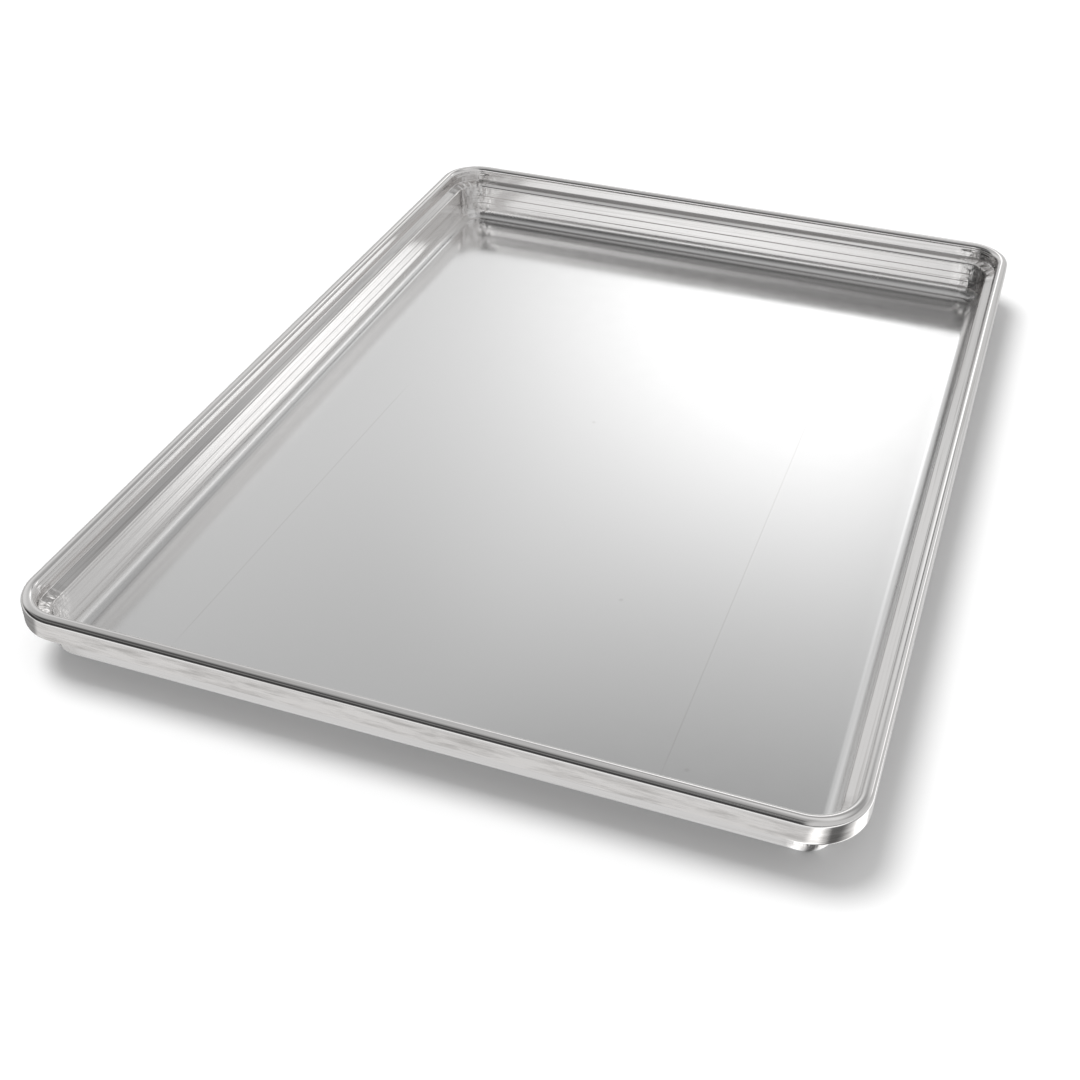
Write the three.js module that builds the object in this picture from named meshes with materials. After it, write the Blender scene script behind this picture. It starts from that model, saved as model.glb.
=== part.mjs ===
import * as THREE from 'three';

// Half-size sheet pan: one drawn sheet of aluminium whose edge is rolled over a steel rim wire.
// Millimetres. The pan stands flat, +Z up, short side along X, long side along Y.
// The origin is the middle of the pan on the underside of its floor.

// Overall size, over the rolled rim
const PAN_WIDTH = 327;
const PAN_LENGTH = 454;
const PAN_HEIGHT = 28.6;

// Sheet
const SHEET_THICKNESS = 1;

// Rim wire, the room that the rolled edge leaves round it, and the gap between its butted ends
const WIRE_DIAMETER = 2.7;
const WIRE_CLEARANCE = 0.3;
const WIRE_END_GAP = 1.6;

// Ledge between the upper and the lower wall: depth of its outer corner below the rim's top,
// its width, how far it slopes down inwards, and the inside radius of the bends on either side
const LEDGE_DEPTH = 7.3;
const LEDGE_WIDTH = 4.9;
const LEDGE_DROP = 1.9;
const LEDGE_BEND_RADIUS = 0.7;

// Hem that closes the rim below: gap to the ledge above it, how far it reaches along the ledge,
// and the inside radius of the bend at the skirt's foot
const HEM_GAP = 0.75;
const HEM_REACH_SHARE = 0.5;
const HEM_BEND_RADIUS = 0.5;

// Lower wall, cove and the corners of the flat floor
const WALL_DRAFT = 0.8;
const COVE_RADIUS = 6;
const FLOOR_CORNER_RADIUS = 4.3;

// Faceting: the largest step of a bend, steps round each corner of the pan, sides of the wire
const BEND_STEP_DEGREES = 18;
const CORNER_STEPS = 8;
const WIRE_SIDES = 12;

// Sizes that follow. An inset is measured from the skirt's outer face towards the pan's middle.
const HALF_SHEET = SHEET_THICKNESS / 2;
const ROLL_RADIUS = WIRE_DIAMETER / 2 + WIRE_CLEARANCE + HALF_SHEET;
const WIRE_INSET = ROLL_RADIUS + HALF_SHEET;
const WIRE_HEIGHT = PAN_HEIGHT - WIRE_INSET;
const RIM_WIDTH = 2 * WIRE_INSET;
const WALL_FOOT_INSET = RIM_WIDTH + LEDGE_WIDTH + WALL_DRAFT;

// The section follows the middle line of the sheet: x is the inset and y the height.
// Its corners before bending, from the floor out to the cut edge of the hem
const floorInside = new THREE.Vector2(PAN_WIDTH / 2, HALF_SHEET);
const wallFoot = new THREE.Vector2(WALL_FOOT_INSET - HALF_SHEET, HALF_SHEET);
const ledgeOuter = new THREE.Vector2(RIM_WIDTH - HALF_SHEET, PAN_HEIGHT - LEDGE_DEPTH - HALF_SHEET);
const ledgeInner = ledgeOuter.clone().add(new THREE.Vector2(LEDGE_WIDTH, -LEDGE_DROP));
const wallTop = new THREE.Vector2(RIM_WIDTH - HALF_SHEET, WIRE_HEIGHT);
const skirtTop = new THREE.Vector2(HALF_SHEET, WIRE_HEIGHT);
const hemEdge = ledgeOuter.clone().lerp(ledgeInner, HEM_REACH_SHARE);
hemEdge.y -= SHEET_THICKNESS + HEM_GAP;
const skirtFoot = new THREE.Vector2(HALF_SHEET, hemEdge.y);

// A bend that rounds the corner between two straight stretches of the middle line.
// turn is 1 where the face that holds the food runs round the outside of the bend, else -1.
function bend(before, corner, after, insideRadius) {
  const middleRadius = insideRadius + HALF_SHEET;
  const back = before.clone().sub(corner).normalize();
  const ahead = after.clone().sub(corner).normalize();
  const half = Math.acos(back.dot(ahead)) / 2;
  const towardsCentre = back.clone().add(ahead).normalize();
  const centre = corner.clone().addScaledVector(towardsCentre, middleRadius / Math.sin(half));
  const start = corner.clone().addScaledVector(back, middleRadius / Math.tan(half));
  const from = start.sub(centre).angle();
  const sweep = Math.PI - 2 * half;
  const turn = Math.sign(ahead.cross(back));
  return { centre, middleRadius, from, sweep, turn };
}

// The roll over the wire is half a turn about the wire's own centre
const rimRoll = {
  centre: new THREE.Vector2(WIRE_INSET, WIRE_HEIGHT),
  middleRadius: ROLL_RADIUS,
  from: 0,
  sweep: Math.PI,
  turn: 1,
};

const cove = bend(floorInside, wallFoot, ledgeInner, COVE_RADIUS);
const bends = [
  cove,
  bend(wallFoot, ledgeInner, ledgeOuter, LEDGE_BEND_RADIUS),
  bend(ledgeInner, ledgeOuter, wallTop, LEDGE_BEND_RADIUS),
  rimRoll,
  bend(skirtTop, skirtFoot, hemEdge, HEM_BEND_RADIUS),
];

// One face of the sheet's section, set off from the middle line and ending at the hem's cut edge.
// offset is positive for the face that holds the food and shows on the rim.
function sheetFace(offset) {
  const points = [];
  for (const { centre, middleRadius, from, sweep, turn } of bends) {
    const radius = middleRadius + turn * offset;
    const to = from + turn * sweep;
    const arc = new THREE.EllipseCurve(centre.x, centre.y, radius, radius, from, to, turn < 0);
    const steps = Math.ceil(THREE.MathUtils.radToDeg(sweep) / BEND_STEP_DEGREES);
    points.push(...arc.getPoints(steps));
  }
  points.push(new THREE.Vector2(hemEdge.x, hemEdge.y - offset));
  return points;
}

// The flat floor ends where the cove starts, and all rounds of a corner share the floor corner's centre
const FLOOR_INSET = cove.centre.x;
const CORNER_X = PAN_WIDTH / 2 - FLOOR_INSET - FLOOR_CORNER_RADIUS;
const CORNER_Y = PAN_LENGTH / 2 - FLOOR_INSET - FLOOR_CORNER_RADIUS;

// A line round the pan at one inset and height, anticlockwise from the middle of the far short side.
// With an end gap it stays open there, and has an end on either side of the middle.
function lineRound(inset, height, endGap = 0) {
  const radius = FLOOR_CORNER_RADIUS + FLOOR_INSET - inset;
  const corners = [
    { x: -CORNER_X, y: CORNER_Y, quarter: 1 },
    { x: -CORNER_X, y: -CORNER_Y, quarter: 2 },
    { x: CORNER_X, y: -CORNER_Y, quarter: 3 },
    { x: CORNER_X, y: CORNER_Y, quarter: 4 },
  ];
  const points = [];
  for (const { x, y, quarter } of corners) {
    const from = (quarter * Math.PI) / 2;
    const arc = new THREE.EllipseCurve(x, y, radius, radius, from, from + Math.PI / 2);
    points.push(...arc.getPoints(CORNER_STEPS));
  }
  if (endGap > 0) {
    points.unshift(new THREE.Vector2(-endGap / 2, CORNER_Y + radius));
    points.push(new THREE.Vector2(endGap / 2, CORNER_Y + radius));
  }
  return points.map((p) => new THREE.Vector3(p.x, p.y, height));
}

// A closed skin over lines of equally many points.
// Lines that close on themselves are joined one to the next, and the first and the last are filled.
// Open lines form a rod: the last is joined to the first as well, and the rod's two ends are filled.
function skin(lines, linesClose) {
  const across = lines.length;
  const along = lines[0].length;
  const index = [];
  const at = (line, point) => (line % across) * along + (point % along);
  const fill = (ring) => {
    for (let k = 1; k < ring.length - 1; k += 1) index.push(ring[0], ring[k], ring[k + 1]);
  };
  const lineSteps = linesClose ? across - 1 : across;
  const pointSteps = linesClose ? along : along - 1;
  for (let line = 0; line < lineSteps; line += 1) {
    for (let point = 0; point < pointSteps; point += 1) {
      fill([at(line, point), at(line + 1, point), at(line + 1, point + 1), at(line, point + 1)]);
    }
  }
  if (linesClose) {
    const whole = (line) => lines[line].map((_, point) => at(line, point));
    fill(whole(0));
    fill(whole(across - 1).reverse());
  } else {
    const rodEnd = (point) => lines.map((_, line) => at(line, point));
    fill(rodEnd(0).reverse());
    fill(rodEnd(along - 1));
  }
  const positions = lines.flat().flatMap((p) => [p.x, p.y, p.z]);
  const geometry = new THREE.BufferGeometry();
  geometry.setAttribute('position', new THREE.Float32BufferAttribute(positions, 3));
  geometry.setIndex(index);
  geometry.computeVertexNormals();
  return geometry;
}

// Pan body: the food face out to the hem's edge, and back along the underside
function panBody() {
  const section = [...sheetFace(HALF_SHEET), ...sheetFace(-HALF_SHEET).reverse()];
  const geometry = skin(section.map((p) => lineRound(p.x, p.y)), true);
  const satinAluminium = new THREE.MeshStandardMaterial({
    color: 0xc9c9ca,
    roughness: 0.32,
    metalness: 1,
  });
  const mesh = new THREE.Mesh(geometry, satinAluminium);
  mesh.name = 'pan_body';
  return mesh;
}

// Rim wire: a round rod bent to the pan's outline inside the rolled edge, its ends not quite meeting
function rimWire() {
  const radius = WIRE_DIAMETER / 2;
  const circle = new THREE.EllipseCurve(WIRE_INSET, WIRE_HEIGHT, radius, radius);
  const section = circle.getPoints(WIRE_SIDES).slice(0, WIRE_SIDES);
  const geometry = skin(section.map((p) => lineRound(p.x, p.y, WIRE_END_GAP)), false);
  const galvanisedSteel = new THREE.MeshStandardMaterial({
    color: 0x9a9d9f,
    roughness: 0.45,
    metalness: 1,
  });
  const mesh = new THREE.Mesh(geometry, galvanisedSteel);
  mesh.name = 'rim_wire';
  return mesh;
}

const sheetPan = new THREE.Group();
sheetPan.add(panBody(), rimWire());

export default sheetPan;
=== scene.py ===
from math import cos, pi, radians, sin, tan

import bmesh
import bpy
from mathutils import Matrix, Vector


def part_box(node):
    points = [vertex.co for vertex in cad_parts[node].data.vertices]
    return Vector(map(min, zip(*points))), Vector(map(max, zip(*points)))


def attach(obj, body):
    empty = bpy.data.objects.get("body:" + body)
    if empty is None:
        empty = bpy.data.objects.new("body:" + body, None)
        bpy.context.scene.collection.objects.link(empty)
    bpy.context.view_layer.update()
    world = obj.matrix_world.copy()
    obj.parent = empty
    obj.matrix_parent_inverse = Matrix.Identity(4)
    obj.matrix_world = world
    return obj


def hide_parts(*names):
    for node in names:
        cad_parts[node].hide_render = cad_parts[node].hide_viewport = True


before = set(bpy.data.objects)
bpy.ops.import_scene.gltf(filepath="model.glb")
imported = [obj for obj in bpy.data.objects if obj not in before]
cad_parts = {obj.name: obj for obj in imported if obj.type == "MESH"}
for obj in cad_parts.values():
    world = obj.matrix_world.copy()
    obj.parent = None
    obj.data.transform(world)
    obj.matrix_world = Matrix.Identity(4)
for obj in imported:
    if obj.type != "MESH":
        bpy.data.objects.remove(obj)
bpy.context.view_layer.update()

MM = 0.001

# Pan sheet
# One blank of 18 gauge aluminium, drawn in a press into floor, cove, wall, stacking ledge and rim.
# Its edge is rolled outwards over the rim wire, turned down as a skirt and hemmed under the ledge.
SHEET = 1.0 * MM
WIRE_ROOM = 3.3 * MM
RIM = WIRE_ROOM + 2 * SHEET
RIM_INNER_BEND = 2.6 * MM
RIM_OUTER_BEND = 2.1 * MM
RIM_SLOPE = radians(17)
CREST_SINK = 0.035 * MM
LEDGE_DEPTH = 7.3 * MM
LEDGE_WIDTH = 4.9 * MM
LEDGE_DROP = 1.9 * MM
LEDGE_OUTER_BEND = 0.7 * MM
LEDGE_INNER_BEND = 1.3 * MM
WALL_DRAFT = 0.8 * MM
COVE_RADIUS = 6.0 * MM
SKIRT_DEPTH = 11.0 * MM
SKIRT_FOOT_BEND = 1.5 * MM
HEM_EDGE = 7.5 * MM
OUTER_CORNER = 21.1 * MM

_, pan_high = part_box("pan_body")
HALF_WIDTH = pan_high.x
HALF_LENGTH = pan_high.y
TOP = pan_high.z
CORNER_X = HALF_WIDTH - OUTER_CORNER
CORNER_Y = HALF_LENGTH - OUTER_CORNER

# Creases that the draw ring leaves along the lower wall: depth below the rim, step outwards, height
CREASE_DEPTHS = (14.8 * MM, 19.1 * MM)
CREASE_STEP = 0.1 * MM
CREASE_HEIGHT = 0.5 * MM
CREASE_BEND = 0.3 * MM

# How finely the sweep is stepped: per straight side, per corner, and per right angle of a bend,
# and how close two points are taken as one
STRAIGHT_STEPS = 16
CORNER_STEPS = 24
BEND_STEPS = 10
MERGE = 0.002 * MM

LEDGE_INNER = RIM + LEDGE_WIDTH
WALL_TOP_DEPTH = LEDGE_DEPTH + LEDGE_DROP
WALL_FOOT_DEPTH = TOP - SHEET

# The rim's top falls outwards from its crest, which the inner bend brings up to the pan's full height
# but for a hair, as a bevelled bend bulges a little more than a true arc
CREST_DEPTH = CREST_SINK - RIM_INNER_BEND * (tan(RIM_SLOPE) + 1 / cos(RIM_SLOPE) - 1)
SKIRT_TOP_DEPTH = CREST_DEPTH + RIM * tan(RIM_SLOPE)


def wall_inset(depth):
    """Inset of the lower wall's food face at a depth below the rim's top."""
    down_share = (depth - WALL_TOP_DEPTH) / (WALL_FOOT_DEPTH - WALL_TOP_DEPTH)
    return LEDGE_INNER + WALL_DRAFT * down_share


def section_corners():
    """Inset, depth and bend radius of the face that holds the food, from the floor out to the hem."""
    corners = [
        (OUTER_CORNER, WALL_FOOT_DEPTH, 0),
        (wall_inset(WALL_FOOT_DEPTH), WALL_FOOT_DEPTH, COVE_RADIUS),
    ]
    for depth in reversed(CREASE_DEPTHS):
        inset = wall_inset(depth)
        corners.append((inset + CREASE_STEP / 2, depth + CREASE_HEIGHT, CREASE_BEND))
        corners.append((inset - CREASE_STEP / 2, depth, CREASE_BEND))
    corners += [
        (LEDGE_INNER, WALL_TOP_DEPTH, LEDGE_INNER_BEND),
        (RIM, LEDGE_DEPTH, LEDGE_OUTER_BEND),
        (RIM, CREST_DEPTH, RIM_INNER_BEND),
        (0, SKIRT_TOP_DEPTH, RIM_OUTER_BEND),
        (0, SKIRT_DEPTH, SKIRT_FOOT_BEND),
        (HEM_EDGE, SKIRT_DEPTH, 0),
    ]
    return corners


def draw_section(bm, corners):
    """A wire section at the middle of the near short side, with each corner bent to its radius."""
    verts = [bm.verts.new((0, inset - HALF_LENGTH, TOP - depth)) for inset, depth, _ in corners]
    for a, b in zip(verts, verts[1:]):
        bm.edges.new((a, b))
    places = [vert.co.copy() for vert in verts]
    for i in range(1, len(corners) - 1):
        half_angle = (places[i - 1] - places[i]).angle(places[i + 1] - places[i]) / 2
        right_angles = (pi - 2 * half_angle) / (pi / 2)
        bmesh.ops.bevel(
            bm,
            geom=[verts[i]],
            offset=corners[i][2] / tan(half_angle),
            segments=max(2, round(BEND_STEPS * right_angles)),
            profile=0.5,
            affect="VERTICES",
            material=-1,
        )
    bmesh.ops.remove_doubles(bm, verts=bm.verts, dist=MERGE)


def measure_across(bm, layer):
    """Writes on each vertex how far along the section it lies from the floor's end."""
    ends = [vert for vert in bm.verts if len(vert.link_edges) == 1]
    vert = max(ends, key=lambda end: end.co.y)
    edge = vert.link_edges[0]
    while edge:
        onward = edge.other_vert(vert)
        onward[layer] = vert[layer] + edge.calc_length()
        edge = next((e for e in onward.link_edges if e is not edge), None)
        vert = onward


def across_at(bm, layer, inset, depth):
    """How far along the section the point nearest to an inset and a depth lies."""
    point = Vector((0, inset - HALF_LENGTH, TOP - depth))
    return min(bm.verts, key=lambda vert: (vert.co - point).length)[layer]


def run(bm, edges, move, steps):
    """The section drawn along a straight side, in equal steps."""
    for _ in range(steps):
        drawn = bmesh.ops.extrude_edge_only(bm, edges=edges)["geom"]
        verts = [g for g in drawn if isinstance(g, bmesh.types.BMVert)]
        bmesh.ops.translate(bm, vec=move / steps, verts=verts)
        edges = [g for g in drawn if isinstance(g, bmesh.types.BMEdge)]
    return edges


def turn(bm, edges, centre):
    """The section turned a quarter round one corner of the pan."""
    spun = bmesh.ops.spin(
        bm,
        geom=edges + list({vert for edge in edges for vert in edge.verts}),
        cent=centre,
        axis=(0, 0, 1),
        angle=pi / 2,
        steps=CORNER_STEPS,
    )
    return [g for g in spun["geom_last"] if isinstance(g, bmesh.types.BMEdge)]


def sweep_round_pan(bm):
    """Takes the section in bm round the four sides and corners, back to where it started."""
    along_x = Vector((2 * CORNER_X, 0, 0))
    along_y = Vector((0, 2 * CORNER_Y, 0))
    edges = run(bm, bm.edges[:], along_x / 2, STRAIGHT_STEPS // 2)
    edges = turn(bm, edges, (CORNER_X, -CORNER_Y, 0))
    edges = run(bm, edges, along_y, STRAIGHT_STEPS)
    edges = turn(bm, edges, (CORNER_X, CORNER_Y, 0))
    edges = run(bm, edges, -along_x, STRAIGHT_STEPS)
    edges = turn(bm, edges, (-CORNER_X, CORNER_Y, 0))
    edges = run(bm, edges, -along_y, STRAIGHT_STEPS)
    edges = turn(bm, edges, (-CORNER_X, -CORNER_Y, 0))
    run(bm, edges, along_x / 2, STRAIGHT_STEPS // 2)
    bmesh.ops.remove_doubles(bm, verts=bm.verts, dist=MERGE)


def fill_floor(bm):
    """Closes the flat rectangle inside the swept section with a grid of faces."""
    open_edges = [e for e in bm.edges if e.is_boundary and e.verts[0].co.z < 2 * SHEET]
    short_sides = [e for e in open_edges if abs(e.verts[0].co.y - e.verts[1].co.y) < MERGE]
    bmesh.ops.grid_fill(bm, edges=short_sides)


def finished_piece(bm, name, node):
    """A smooth mesh object that stands for a CAD node."""
    mesh = bpy.data.meshes.new(name)
    bm.to_mesh(mesh)
    bm.free()
    mesh.polygons.foreach_set("use_smooth", [True] * len(mesh.polygons))
    piece = bpy.data.objects.new(name, mesh)
    bpy.context.collection.objects.link(piece)
    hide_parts(node)
    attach(piece, "root")
    return piece


pan_bm = bmesh.new()
across_layer = pan_bm.verts.layers.float.new("across")
draw_section(pan_bm, section_corners())
measure_across(pan_bm, across_layer)
COVE_TOP_DEPTH = WALL_FOOT_DEPTH - COVE_RADIUS
ACROSS_WALL_FOOT = across_at(pan_bm, across_layer, wall_inset(WALL_FOOT_DEPTH), COVE_TOP_DEPTH)
ACROSS_LEDGE_INNER = across_at(pan_bm, across_layer, LEDGE_INNER, WALL_TOP_DEPTH)
ACROSS_RIM_INNER = across_at(pan_bm, across_layer, RIM, RIM_INNER_BEND)
ACROSS_SKIRT_TOP = across_at(pan_bm, across_layer, 0, SKIRT_TOP_DEPTH + RIM_OUTER_BEND)
sweep_round_pan(pan_bm)
fill_floor(pan_bm)
bmesh.ops.recalc_face_normals(pan_bm, faces=pan_bm.faces)
if max(pan_bm.faces, key=lambda face: face.calc_area()).normal.z < 0:
    bmesh.ops.reverse_faces(pan_bm, faces=pan_bm.faces)
bmesh.ops.solidify(pan_bm, geom=pan_bm.faces[:], thickness=SHEET)
pan = finished_piece(pan_bm, "pan_sheet", "pan_body")
pan.modifiers.new("flats_stay_flat", "WEIGHTED_NORMAL").keep_sharp = True


class Value:
    """A shader socket that can be used in plain maths."""

    def __init__(self, nodes, socket):
        self.nodes = nodes
        self.socket = socket

    def output(self, key):
        return Value(self.nodes, self.socket.node.outputs[key])

    def __add__(self, other):
        return self.nodes.maths("ADD", self, other)

    def __radd__(self, other):
        return self.nodes.maths("ADD", other, self)

    def __sub__(self, other):
        return self.nodes.maths("SUBTRACT", self, other)

    def __rsub__(self, other):
        return self.nodes.maths("SUBTRACT", other, self)

    def __mul__(self, other):
        return self.nodes.maths("MULTIPLY", self, other)

    def __rmul__(self, other):
        return self.nodes.maths("MULTIPLY", other, self)


class Nodes:
    """The node tree of one material or world."""

    def __init__(self, owner):
        owner.use_nodes = True
        self.tree = owner.node_tree

    def set(self, node, inputs):
        for key, value in inputs.items():
            if isinstance(value, Value):
                self.tree.links.new(value.socket, node.inputs[key])
            else:
                node.inputs[key].default_value = value

    def add(self, kind, settings, inputs, output=0):
        """A new node of a kind: its settings first, then the values or links of its sockets."""
        node = self.tree.nodes.new("ShaderNode" + kind)
        for name, setting in settings.items():
            if name == "stops":
                self.set_stops(node.color_ramp, setting)
            else:
                setattr(node, name, setting)
        self.set(node, inputs)
        return Value(self, node.outputs[output])

    def set_stops(self, ramp, stops):
        ramp.elements.remove(ramp.elements[-1])
        for i, (place, level) in enumerate(stops):
            stop = ramp.elements[0] if i == 0 else ramp.elements.new(place)
            stop.position = place
            stop.color = (level, level, level, 1)

    def maths(self, operation, a, b=0.0):
        return self.add("Math", {"operation": operation}, {0: a, 1: b})

    def step(self, value, low, high):
        """A smooth rise from 0 at low to 1 at high."""
        settings = {"interpolation_type": "SMOOTHSTEP"}
        return self.add("MapRange", settings, {"Value": value, "From Min": low, "From Max": high})

    def between(self, value, low, high, soft):
        """1 between low and high, with soft edges."""
        return self.step(value, low - soft, low + soft) * (1 - self.step(value, high - soft, high + soft))

    def noise(self, place, sizes, detail=2.0, roughness=0.5):
        """Smooth noise from 0 to 1 whose cells measure sizes along the three directions of place."""
        scaled = self.add("VectorMath", {"operation": "DIVIDE"}, {0: place, 1: sizes})
        inputs = {"Vector": scaled, "Scale": 1.0, "Detail": detail, "Roughness": roughness}
        return self.add("TexNoise", {}, inputs)

    def mix(self, factor, low, high):
        """A colour between two colours."""
        settings = {"data_type": "RGBA"}
        return self.add("Mix", settings, {0: factor, 6: low, 7: high}, output=2)


aluminium = bpy.data.materials.new("drawn_aluminium")
metal = Nodes(aluminium)
shader = metal.tree.nodes["Principled BSDF"]

place = metal.add("TexCoord", {}, {}, output="Object")
axes = metal.add("SeparateXYZ", {}, {0: place})
x, y = axes, axes.output(1)
across = metal.add("Attribute", {"attribute_name": "across"}, {}, output="Fac")
round_pan = metal.add("CombineXYZ", {}, {0: x, 1: y, 2: across})

# Where the parts of the section lie, each with a soft edge
ACROSS_COVE = ACROSS_WALL_FOOT - COVE_RADIUS * pi / 2
COVE_SOFT = 2 * MM
SKIRT_SOFT = 1 * MM
LEDGE_EDGE_START = ACROSS_LEDGE_INNER - 3 * MM
LEDGE_EDGE_END = ACROSS_LEDGE_INNER + 2 * MM
LEDGE_EDGE_SOFT = 1 * MM
BELOW_RIM_SOFT = 2 * MM
on_wall = metal.step(across, ACROSS_COVE, ACROSS_WALL_FOOT)
on_cove = metal.between(across, ACROSS_COVE + COVE_SOFT, ACROSS_WALL_FOOT, COVE_SOFT)
on_skirt = metal.step(across, ACROSS_SKIRT_TOP, ACROSS_SKIRT_TOP + SKIRT_SOFT)
on_ledge_edge = metal.between(across, LEDGE_EDGE_START, LEDGE_EDGE_END, LEDGE_EDGE_SOFT)
below_rim = 1 - metal.step(across, ACROSS_RIM_INNER - BELOW_RIM_SOFT, ACROSS_RIM_INNER)

# How far round a corner of the pan a place lies, from 0 to a quarter turn, and where corners are
past_x = metal.maths("ABSOLUTE", x) - CORNER_X
past_y = metal.maths("ABSOLUTE", y) - CORNER_Y
turned = metal.maths("ARCTAN2", past_y, past_x)
CORNER_FADE = (-8 * MM, 4 * MM)
in_corner = metal.step(past_x, *CORNER_FADE) * metal.step(past_y, *CORNER_FADE)

# The third direction differs from corner to corner, so that no two of them are folded alike
UNLIKE_SHARE = 0.4
round_corner = metal.add("CombineXYZ", {}, {0: turned, 1: across, 2: x + y * UNLIKE_SHARE})

# Marks of use on the floor: long scratches as x at the pan's middle, lean and two ends, and specks
SCRATCHES = (
    (89.5 * MM, 0.0033, -193 * MM, 80 * MM),
    (-105.1 * MM, 0.03, -189 * MM, 11 * MM),
)
SPECKS = ((-7 * MM, 18 * MM, SHEET), (46 * MM, -107 * MM, SHEET), (97 * MM, -191 * MM, SHEET))
SCRATCH_FADE = (0.1 * MM, 0.5 * MM)
SCRATCH_END_SOFT = 15 * MM
SPECK_FADE = (0.5 * MM, 1.4 * MM)
marks = 0
for x_at_middle, lean, near_end, far_end in SCRATCHES:
    off_line = metal.maths("ABSOLUTE", x - x_at_middle - y * lean)
    on_line = 1 - metal.step(off_line, *SCRATCH_FADE)
    marks = marks + on_line * metal.between(y, near_end, far_end, SCRATCH_END_SOFT)
for speck in SPECKS:
    off_speck = metal.add("VectorMath", {"operation": "DISTANCE"}, {0: place, 1: speck}, output="Value")
    marks = marks + 1 - metal.step(off_speck, *SPECK_FADE)

# Finish: the rolled floor is satin, the drawn walls and the rolled rim are brighter, the skirt duller
FLOOR_ROUGHNESS = 0.14
COVE_ROUGHNESS = 0.26
CORNER_ROUGHNESS = 0.15
WALL_ROUGHNESS = 0.12
SKIRT_ROUGHNESS = 0.24
MOTTLE_CELLS = (9 * MM, 9 * MM, 4 * MM)
MOTTLE_LEAST = 0.85
MOTTLE_RANGE = 0.3
mottle = metal.noise(round_pan, MOTTLE_CELLS, detail=4.0)
roughness = FLOOR_ROUGHNESS + on_wall * (WALL_ROUGHNESS - FLOOR_ROUGHNESS)
roughness = roughness + on_cove * (COVE_ROUGHNESS - roughness)
roughness = roughness + on_wall * in_corner * below_rim * (CORNER_ROUGHNESS - WALL_ROUGHNESS)
roughness = roughness + on_skirt * (1 - in_corner) * (SKIRT_ROUGHNESS - WALL_ROUGHNESS)
metal.set(shader, {"Roughness": roughness * (MOTTLE_LEAST + MOTTLE_RANGE * mottle)})

# Colour: bare aluminium, warmer and streaked where it was drawn, patchy on the skirt that racks rub.
# Below the rim the corners' walls are darkened in blotches that follow the folds: painted shade.
# A fold's first size is its angle round the corner, in radians.
BRIGHT_METAL = (0.87, 0.87, 0.87, 1)
DRAWN_METAL = (0.875, 0.862, 0.855, 1)
STREAKED_METAL = (0.64, 0.622, 0.61, 1)
WARM_METAL = (0.92, 0.9, 0.885, 1)
RUBBED_METAL = (0.6, 0.582, 0.568, 1)
STREAK_CELLS = (120 * MM, 120 * MM, 1.1 * MM)
STREAK_FADE = (0.48, 0.8)
FOLD_CELLS = (0.3, 7 * MM, 60 * MM)
CORNER_PAINTED_SHADE_FADE = (0.3, 0.65)
CORNER_PAINTED_SHADE_SHARE = 0.9
MARK_SHARE = 0.22
RUB_CELLS = (22 * MM, 22 * MM, 2.5 * MM)
RUB_FADE = (0.38, 0.72)
streaks_and_corner_shade = metal.step(metal.noise(round_pan, STREAK_CELLS, detail=4.0, roughness=0.6), *STREAK_FADE)
folds_and_corner_shade = metal.noise(round_corner, FOLD_CELLS, detail=2.0)
# Painted shade: darker blotches on the walls in the corners below the rim, where the folds lie.
streaks_and_corner_shade = streaks_and_corner_shade + in_corner * below_rim * metal.step(folds_and_corner_shade, *CORNER_PAINTED_SHADE_FADE) * CORNER_PAINTED_SHADE_SHARE
wall_colour = metal.mix(streaks_and_corner_shade, DRAWN_METAL, STREAKED_METAL)
floor_colour = metal.mix(marks * MARK_SHARE, BRIGHT_METAL, STREAKED_METAL)
rub = metal.step(metal.noise(round_pan, RUB_CELLS, detail=5.0, roughness=0.65), *RUB_FADE)
skirt_colour = metal.mix(rub, WARM_METAL, RUBBED_METAL)
inner_colour = metal.mix(on_wall, floor_colour, wall_colour)
metal.set(shader, {"Base Color": metal.mix(on_skirt, inner_colour, skirt_colour)})
metal.set(shader, {"Metallic": 1.0})

# Relief, as heights in microns: roll lines run the length of the floor, draw marks round the walls,
# the ledge's edge ripples, and the corners are puckered where the blank was squeezed together
MICRON = 1e-6
ROLL_CELLS = (1.2 * MM, 90 * MM, 1)
ROLL_HEIGHT = 0.4
DRAW_CELLS = (70 * MM, 70 * MM, 0.9 * MM)
DRAW_HEIGHT = 4.0
WAVE_CELLS = (35 * MM, 35 * MM, 5 * MM)
WAVE_HEIGHT = 20.0
RIPPLE_CELLS = (7 * MM, 7 * MM, 4 * MM)
RIPPLE_HEIGHT = 16.0
PUCKER_HEIGHT = 1000.0
roll_lines = metal.noise(place, ROLL_CELLS, detail=3.0) * ROLL_HEIGHT
draw_marks = metal.noise(round_pan, DRAW_CELLS, detail=3.0) * DRAW_HEIGHT
waves = metal.noise(round_pan, WAVE_CELLS, detail=1.0) * WAVE_HEIGHT
ripple = metal.noise(round_pan, RIPPLE_CELLS, detail=2.0) * RIPPLE_HEIGHT * on_ledge_edge
puckers = folds_and_corner_shade * PUCKER_HEIGHT * in_corner * below_rim
relief = roll_lines * (1 - on_wall) + (draw_marks + waves + ripple + puckers) * on_wall
bump = metal.add("Bump", {}, {"Height": relief, "Distance": MICRON, "Strength": 1.0})
metal.set(shader, {"Normal": bump})
pan.data.materials.append(aluminium)

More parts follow.
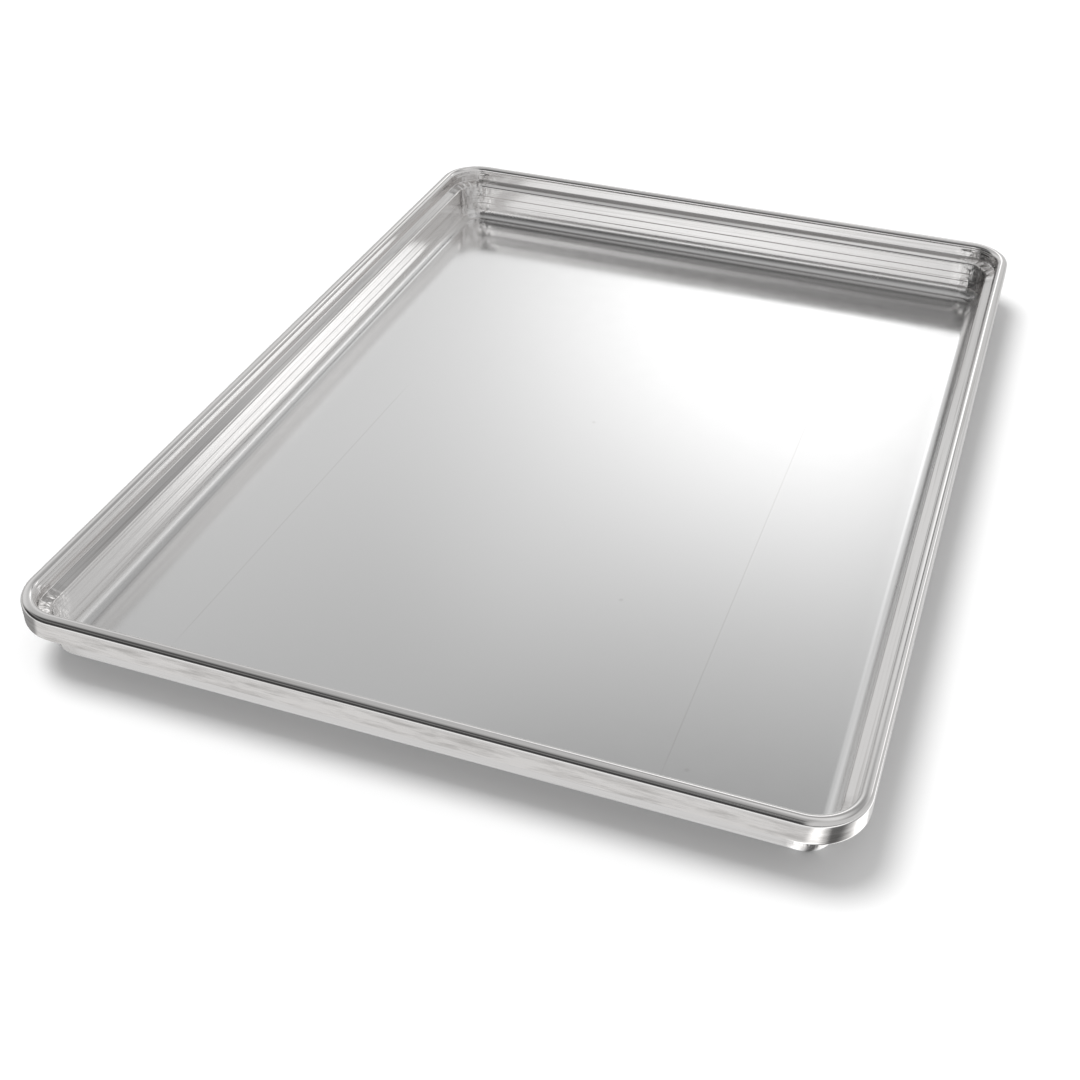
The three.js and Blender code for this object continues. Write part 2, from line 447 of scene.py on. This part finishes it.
# Rim wire
# A galvanised steel wire bent to the pan's outline and held in the rolled edge.
# Its butted ends are hidden in the roll, so here it runs round without a break.
WIRE_RADIUS = 1.35 * MM
WIRE_SIDES = 16
wire_bm = bmesh.new()
wire_middle = Matrix.Translation((0, RIM / 2 - HALF_LENGTH, TOP - RIM / 2))
wire_place = wire_middle @ Matrix.Rotation(pi / 2, 4, "Y")
bmesh.ops.create_circle(wire_bm, segments=WIRE_SIDES, radius=WIRE_RADIUS, matrix=wire_place)
sweep_round_pan(wire_bm)
bmesh.ops.recalc_face_normals(wire_bm, faces=wire_bm.faces)
wire = finished_piece(wire_bm, "rim_wire_rod", "rim_wire")

galvanised = bpy.data.materials.new("galvanised_steel")
zinc = Nodes(galvanised)
shader = zinc.tree.nodes["Principled BSDF"]
place = zinc.add("TexCoord", {}, {}, output="Object")
SPANGLE_CELLS = (2 * MM, 2 * MM, 2 * MM)
LIGHT_ZINC = (0.62, 0.63, 0.64, 1)
DARK_ZINC = (0.45, 0.46, 0.48, 1)
ZINC_ROUGHNESS = 0.35
SPANGLE_ROUGHNESS = 0.25
spangle = zinc.noise(place, SPANGLE_CELLS, detail=3.0)
zinc_look = {
    "Base Color": zinc.mix(spangle, LIGHT_ZINC, DARK_ZINC),
    "Metallic": 1.0,
    "Roughness": ZINC_ROUGHNESS + SPANGLE_ROUGHNESS * spangle,
}
zinc.set(shader, zinc_look)
wire.data.materials.append(galvanised)

# Table
# A plain white table that the pan lies on, so close under it that only the shadow shows.
# To mirror rays it shows a painted glow instead of its lit face, seen only in the metal.
TABLE_HALF = 4.0
TABLE_GAP = 0.05 * MM
table_bm = bmesh.new()
bmesh.ops.create_grid(table_bm, x_segments=2, y_segments=2, size=TABLE_HALF)
bmesh.ops.translate(table_bm, vec=(0, 0, -TABLE_GAP), verts=table_bm.verts)
table_mesh = bpy.data.meshes.new("table")
table_bm.to_mesh(table_mesh)
table_bm.free()
table = bpy.data.objects.new("table", table_mesh)
bpy.context.collection.objects.link(table)

white_board = bpy.data.materials.new("white_board")
board = Nodes(white_board)
shader = board.tree.nodes["Principled BSDF"]
glossy_ray = board.add("LightPath", {}, {}, output="Is Glossy Ray")
mirror_ray = board.maths("MAXIMUM", glossy_ray, glossy_ray.output("Is Transmission Ray"))
BOARD_WHITE = (0.95, 0.95, 0.95, 1)
BOARD_ROUGHNESS = 0.9
board.set(shader, {"Base Color": BOARD_WHITE, "Roughness": BOARD_ROUGHNESS, "Specular IOR Level": 0.0})

# The board glows for mirror rays, a painted reflection in place of its lit face: what metal mirrors of it
# is nearly even close by, palest a little in front, and then dark
MIRRORED_UNDER = 0.7
MIRRORED_BESIDE = 0.68
MIRRORED_FRONT = 0.95
MIRRORED_FAR = 0.1
BESIDE_FADE = (2 * MM, 20 * MM)
FRONT_FADE = (27 * MM, 38 * MM)
FAR_FADE = (70 * MM, 130 * MM)
board_x = board.add("SeparateXYZ", {}, {0: board.add("TexCoord", {}, {}, output="Object")})
board_y = board_x.output(1)
beside_x = board.maths("ABSOLUTE", board_x) - HALF_WIDTH
beside_y = board.maths("ABSOLUTE", board_y) - HALF_LENGTH
beside = board.maths("MAXIMUM", beside_x, beside_y)
in_front = -HALF_LENGTH - board_y
level = MIRRORED_UNDER + (MIRRORED_BESIDE - MIRRORED_UNDER) * board.step(beside, *BESIDE_FADE)
level = level + (MIRRORED_FRONT - MIRRORED_BESIDE) * board.step(in_front, *FRONT_FADE)
level = level + (MIRRORED_FAR - MIRRORED_FRONT) * board.step(in_front, *FAR_FADE)

# Round the near corners the glow is painted with two pale patches and a dark gap on the right, and dimmed
# on the left:
# painted highlights and painted shade for the metal to mirror.
# The angles start straight in front of the corner. Those on the right lean with the way outwards.
PAINTED_GLOW_PATCHES = ((radians(14), radians(36)), (radians(82), radians(118)))
PAINTED_GLOW_SOFT = radians(7)
PAINTED_GLOW_LEVEL = 1.4
PAINTED_GLOW_LEAN = 18
PAINTED_GLOW_LEAN_FROM = 20 * MM
RIGHT_PAINTED_SHADE = (radians(48), radians(70), radians(8))
LEFT_PAINTED_SHADE = (radians(50), radians(120), radians(6))
LEFT_PAINTED_SHADE_SHARE = 0.7
PAINTED_SHADE_SHARE = 0.8
CORNER_STAGING_FADE = (50 * MM, 80 * MM)
near_y = -CORNER_Y - board_y
right_turn = board.maths("ARCTAN2", board_x - CORNER_X, near_y) - (beside - PAINTED_GLOW_LEAN_FROM) * PAINTED_GLOW_LEAN
left_turn = board.maths("ARCTAN2", -CORNER_X - board_x, near_y)
close_by = 1 - board.step(beside, *CORNER_STAGING_FADE)
painted_glow = 0
for start, end in PAINTED_GLOW_PATCHES:
    painted_glow = painted_glow + board.between(right_turn, start, end, PAINTED_GLOW_SOFT)
painted_shade = board.between(right_turn, *RIGHT_PAINTED_SHADE) + board.between(left_turn, *LEFT_PAINTED_SHADE) * LEFT_PAINTED_SHADE_SHARE
# Painted highlights and painted shade: the pale patches brighten the glow near the corners, the dark gaps
# dim it.
level = level + painted_glow * close_by * (PAINTED_GLOW_LEVEL - level)
level = level * (1 - painted_shade * close_by * PAINTED_SHADE_SHARE)

# The pan throws back only a share of what it mirrors onto the places in its own shadow
THROWN_BACK = 0.5
diffuse_bounces = board.maths("MINIMUM", glossy_ray.output("Diffuse Depth"), 1.0)
level = level * (1 - diffuse_bounces * (1 - THROWN_BACK))
# The painted glow that metal mirrors, in place of the board's lit face.
mirrored_painted_glow = board.add("Emission", {}, {"Color": level})
board_surface = board.add("MixShader", {}, {0: mirror_ray, 2: mirrored_painted_glow})
board.tree.links.new(shader.outputs[0], board_surface.socket.node.inputs[1])
board.set(board.tree.nodes["Material Output"], {"Surface": board_surface})
table_mesh.materials.append(white_board)

# Studio
# A white room. Metal mirrors it as pale at the back with two bright panels and a dark screen,
# and as dark in front except on the right. The camera sees white, and matt things take an even light.
studio = bpy.data.worlds.new("studio")
bpy.context.scene.world = studio
room = Nodes(studio)
to_right = room.add("SeparateXYZ", {}, {0: room.add("TexCoord", {}, {}, output="Generated")})
to_far = to_right.output(1)
to_top = to_right.output(2)
heading = room.maths("ARCTAN2", to_right, to_far)
elevation = room.maths("ARCSINE", to_top)
BRIGHTEST = 1.6


def by_elevation(levels):
    """The room's brightness against the elevation in degrees."""
    stops = [(sin(radians(degrees)), level / BRIGHTEST) for degrees, level in levels]
    return room.add("ValToRGB", {"stops": stops}, {"Fac": to_top}) * BRIGHTEST


def edge(angle, low, high):
    """A smooth rise between two angles in degrees."""
    return room.step(angle, radians(low), radians(high))


def panel(left, right, bottom, top, top_line=elevation):
    """1 inside a panel and 0 outside. Each of its soft edges is given as two angles in degrees."""
    within_sides = edge(heading, *left) * (1 - edge(heading, *right))
    return within_sides * edge(elevation, *bottom) * (1 - edge(top_line, *top))


FRONT_LEVELS = ((0, 0.04), (24, 0.06), (28, 0.28), (33, 0.2), (48, 0.04), (58, 0.15), (89, 0.45))
FRONT_RIGHT = 0.62
FRONT_RIGHT_FADE = (-0.02, 0.25)
LEFT_LEVELS = ((0, 0.5), (12, 0.5), (18, 0.74), (32, 0.7), (42, 0.5), (75, 0.52), (89, 0.45))
LOW_BACK_LEVELS = ((0, 0.6), (22, 0.62), (30, 0.67), (38, 0.66), (42, 0.55), (46, 0.37), (52, 0.35))
HIGH_BACK_LEVELS = ((60, 0.6), (68, 0.8), (76, 0.7), (89, 0.4))
LEFT_TO_BACK = (-28, -20)
FRONT_TO_BACK_FADE = (-0.2, 0.2)
front_half = by_elevation(FRONT_LEVELS)
front_half = front_half + room.step(to_right, *FRONT_RIGHT_FADE) * (FRONT_RIGHT - front_half)
left_side = by_elevation(LEFT_LEVELS)
back_half = by_elevation(LOW_BACK_LEVELS + HIGH_BACK_LEVELS)
back_half = left_side + edge(heading, *LEFT_TO_BACK) * (back_half - left_side)
glow = front_half + room.step(to_far, *FRONT_TO_BACK_FADE) * (back_half - front_half)

# The side panel's upper edge rises to the right, and between the two panels stands a dark screen
SIDE_PANEL_SHARE = 0.92
SIDE_PANEL_START = radians(27)
SIDE_PANEL_SLOPE = 0.8
SCREEN = 0.08
side_top = elevation - (heading - SIDE_PANEL_START) * SIDE_PANEL_SLOPE
main_panel = panel(left=(-29, -6), right=(-7, 5), bottom=(21.5, 24.5), top=(26, 41))
side_panel = panel(left=(23.5, 27), right=(35, 40), bottom=(19, 22), top=(25.5, 29), top_line=side_top)
screen = panel(left=(-1, 3), right=(8, 12), bottom=(29, 33), top=(38, 42))
glow = glow + (main_panel + side_panel * SIDE_PANEL_SHARE) * (BRIGHTEST - glow)
glow = glow + screen * (SCREEN - glow)

SOFT_LIGHT = 0.65
camera_ray = room.add("LightPath", {}, {}, output="Is Camera Ray")
glow = glow + camera_ray.output("Is Diffuse Ray") * (SOFT_LIGHT - glow)
glow = glow + camera_ray * (1 - glow)
room.set(room.tree.nodes["Background"], {"Color": glow})

# The key light stands high on the left and casts the pan's shadow to the right and the front
KEY_ENERGY = 1.84
KEY_ANGLE = radians(29)
TOWARDS_KEY = Vector((-0.43, 0.135, 1))
key = bpy.data.lights.new("key", "SUN")
key.energy = KEY_ENERGY
key.angle = KEY_ANGLE
key_light = bpy.data.objects.new("key", key)
bpy.context.collection.objects.link(key_light)
key_light.rotation_euler = TOWARDS_KEY.to_track_quat("Z", "Y").to_euler()
key_light.visible_glossy = False

# A long strip lamp over the near rim faces the back wall in a narrow beam, and shows in the metal alone.
# Near the beam's axis the lamp is about BEAM_GAIN times as bright as the same power spread wide.
STRIP_SIZE = (750 * MM, 140 * MM)
STRIP_PLACE = (-125 * MM, -240 * MM, 178 * MM)
STRIP_LEVEL = 1.05
BEAM = radians(60)
BEAM_GAIN = 9.4
TOWARDS_BACK_WALL = Vector((0.2, 0.92, -0.37))
strip = bpy.data.lights.new("strip", "AREA")
strip.shape = "RECTANGLE"
strip.size, strip.size_y = STRIP_SIZE
strip.spread = BEAM
strip.energy = STRIP_LEVEL * pi * strip.size * strip.size_y / BEAM_GAIN
strip_light = bpy.data.objects.new("strip", strip)
bpy.context.collection.objects.link(strip_light)
strip_light.location = STRIP_PLACE
strip_light.rotation_euler = TOWARDS_BACK_WALL.to_track_quat("-Z", "Y").to_euler()
strip_light.visible_camera = False
strip_light.visible_diffuse = False

# Camera
# Where the photograph was taken from, with a 50 mm lens.
AZIMUTH = radians(19.452)
ELEVATION = radians(36.834)
ROLL = radians(0.729)
DISTANCE = 599.73 * MM
AIM = Vector((13.44 * MM, -115.62 * MM, TOP + 0.5 * MM))
FOCAL_LENGTH = 49.96
SENSOR_WIDTH = 36
NEAREST_SEEN = 10 * MM
lens = bpy.data.cameras.new("camera")
lens.lens = FOCAL_LENGTH
lens.sensor_width = SENSOR_WIDTH
lens.clip_start = NEAREST_SEEN
camera = bpy.data.objects.new("camera", lens)
bpy.context.collection.objects.link(camera)
orbit = Matrix.Rotation(AZIMUTH, 4, "Z") @ Matrix.Rotation(pi / 2 - ELEVATION, 4, "X")
stand_off = Matrix.Translation((0, 0, DISTANCE)) @ Matrix.Rotation(ROLL, 4, "Z")
camera.matrix_world = Matrix.Translation(AIM) @ orbit @ stand_off
bpy.context.scene.camera = camera
bpy.context.scene.view_settings.view_transform = "Standard"
